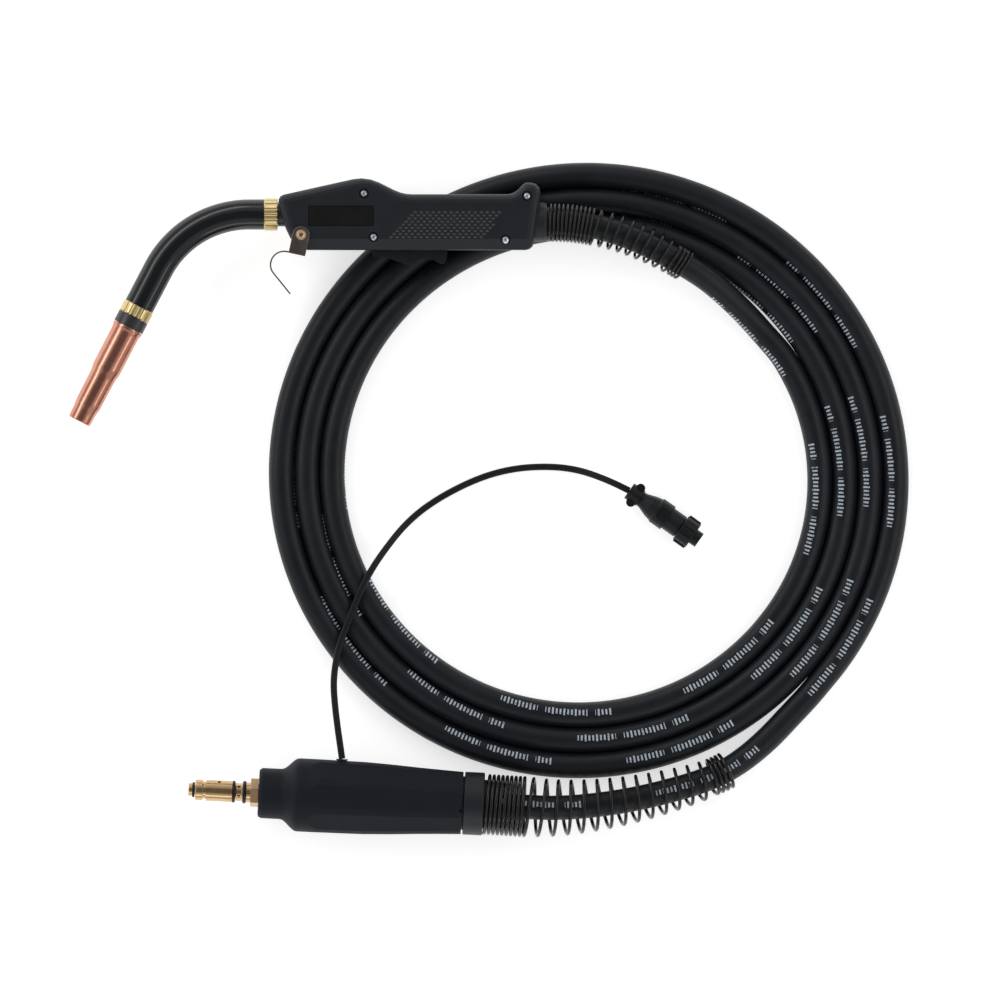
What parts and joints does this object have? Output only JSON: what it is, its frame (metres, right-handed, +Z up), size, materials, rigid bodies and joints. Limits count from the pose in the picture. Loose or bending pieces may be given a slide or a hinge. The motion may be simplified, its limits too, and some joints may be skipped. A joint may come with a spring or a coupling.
{
  "type": "welding torch",
  "caption": "MIG welding torch with a bent neck, two-shell handle with trigger and hanging hook, coiled power cable, rear power pin connector and control plug.",
  "frame": {"origin": "on the surface the torch lies on, under the middle of the footprint of the torch and the rear connector, without the loose cable", "axes": "+X along the handle from its neck to its tail, +Y towards the handle's top edge (away from the trigger), +Z up from the surface"},
  "size_m": [0.6288, 0.5048, 0.0586],
  "materials": {
    "copper": "drawn copper, satin",
    "brass": "turned, satin",
    "insulator_plastic": "moulded",
    "jacket_plastic": "semi-gloss sleeve",
    "handle_plastic": "fine moulded texture",
    "trigger_plastic": "moulded",
    "plug_plastic": "moulded",
    "zinc_steel": "zinc plated",
    "dark_steel": "black coated spring steel",
    "hook_steel": "dark nickel plated sheet",
    "cable_rubber": "satin jacket",
    "seal_rubber": "moulded rubber"
  },
  "bodies": {
    "torch_and_lead": {"contact_tip": "copper", "gas_diffuser": "brass", "nozzle_insulator": "insulator_plastic", "neck_front_ring": "brass", "neck_jacket": "jacket_plastic", "neck_tube": "copper", "neck_rear_ring": "brass", "neck_bush": "insulator_plastic", "handle_upper_shell": "handle_plastic", "handle_lower_shell": "handle_plastic", "handle_screws": "zinc_steel", "neck_clamp": "brass", "clamp_set_screws": "dark_steel", "cable_lug": "copper", "cable_end_front": "cable_rubber", "trigger_pin": "zinc_steel", "trigger_switch": "insulator_plastic", "hook_rivet": "brass", "handle_ferrule": "handle_plastic", "front_spring": "dark_steel", "cable_front_lead": "cable_rubber", "cable_coil": "cable_rubber", "cable_rear_lead": "cable_rubber", "rear_spring": "dark_steel", "boot_cap": "handle_plastic", "rear_boot": "handle_plastic", "cable_end_rear": "cable_rubber", "crimp_block": "brass", "pin_nut": "brass", "power_pin": "brass", "pin_o_rings": "seal_rubber", "liner_nut": "brass", "lead_grommet": "seal_rubber", "control_lead": "cable_rubber", "lead_clamp": "plug_plastic", "clamp_screws": "zinc_steel", "plug_backshell": "plug_plastic", "plug_body": "plug_plastic", "plug_insert": "plug_plastic", "plug_contacts": "brass"},
    "trigger": {"trigger": "trigger_plastic"},
    "switch_plunger": {"switch_plunger": "insulator_plastic"},
    "hanging_hook": {"hanging_hook": "hook_steel"},
    "nozzle": {"nozzle": "copper"},
    "coupling_ring": {"coupling_ring": "plug_plastic"}
  },
  "joints": [
    {"name": "trigger_press", "type": "hinge", "parent": "torch_and_lead", "child": "trigger", "pos_m": [-0.01325, 0.1981, 0.0375], "axis": [0, 0, 1], "range_deg": [0, 4], "stiffness_Nm_per_rad": 2, "springref_deg": -3.44},
    {"name": "plunger_travel", "type": "slide", "parent": "torch_and_lead", "child": "switch_plunger", "axis": [0, 1, 0], "range_m": [0, 0.0018]},
    {"name": "hook_swing", "type": "hinge", "parent": "torch_and_lead", "child": "hanging_hook", "pos_m": [-0.07555, 0.2051, 0.0375], "axis": [0, 0, -1], "range_deg": [-20, 40]},
    {"name": "nozzle_pull", "type": "slide", "parent": "torch_and_lead", "child": "nozzle", "axis": [-0.4617, -0.887, 0], "range_m": [0, 0.03]},
    {"name": "coupling_ring_turn", "type": "hinge", "parent": "torch_and_lead", "child": "coupling_ring", "pos_m": [0.2138, -0.0175, 0.0123], "axis": [0.8151, -0.5793, 0], "continuous": true}
  ],
  "couplings": [
    {"joint": "plunger_travel", "follows": "trigger_press", "m_per_rad": 0.0235}
  ]
}
